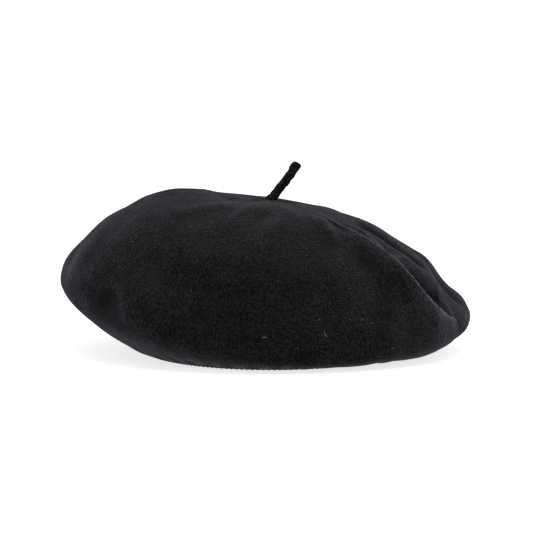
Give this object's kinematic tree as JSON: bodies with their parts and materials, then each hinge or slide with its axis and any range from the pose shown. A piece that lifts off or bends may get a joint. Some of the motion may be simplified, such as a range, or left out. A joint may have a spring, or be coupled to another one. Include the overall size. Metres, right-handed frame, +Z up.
{
  "type": "knitted wool beret",
  "caption": "Soft round knitted wool beret tipped to one side, with a doubled elastic headband and a short knitted cord stem on top.",
  "frame": {"origin": "centre of the head opening, on the plane that the bottom edge of the hem rests on", "axes": "+Z up through the crown, +X towards the wearer's left, which is the low side of the crown and the side the stem leans to, -Y to the front and +Y to the back"},
  "size_m": [0.2541, 0.253, 0.1173],
  "materials": {
    "wool_knit": "lightly felted black wool jersey",
    "knitted_cord": "black knitted wool cord",
    "thread": "black sewing thread",
    "elastic": "black woven elastic",
    "satin_label": "blank off-white satin tape"
  },
  "bodies": {
    "crown": {"crown": "wool_knit", "closing_seam": "thread", "headband": "wool_knit", "band_elastic": "elastic", "hem_seam": "thread", "band_topstitch": "thread", "stem_tail": "knitted_cord", "stem_tacking": "thread", "woven_label": "satin_label", "label_stitch_left": "thread", "label_stitch_right": "thread", "care_label_stitch": "thread"},
    "stem_root": {"stem_root": "knitted_cord"},
    "stem": {"stem": "knitted_cord"},
    "care_label": {"care_label": "satin_label"}
  },
  "joints": [
    {"name": "stem_lean_side", "type": "hinge", "parent": "crown", "child": "stem_root", "pos_m": [0.002, 0, 0.09653], "axis": [0, 1, 0], "range_deg": [-110, 40], "stiffness_Nm_per_rad": 0.002},
    {"name": "stem_lean_front", "type": "hinge", "parent": "stem_root", "child": "stem", "pos_m": [0.00587, 0, 0.10176], "axis": [0.8039, 0, -0.5948], "range_deg": [-60, 60], "stiffness_Nm_per_rad": 0.001},
    {"name": "care_label_flip", "type": "hinge", "parent": "crown", "child": "care_label", "pos_m": [-0.05066, 0.06484, 0.017], "axis": [-0.6561, -0.7547, 0], "range_deg": [0, 110]}
  ]
}
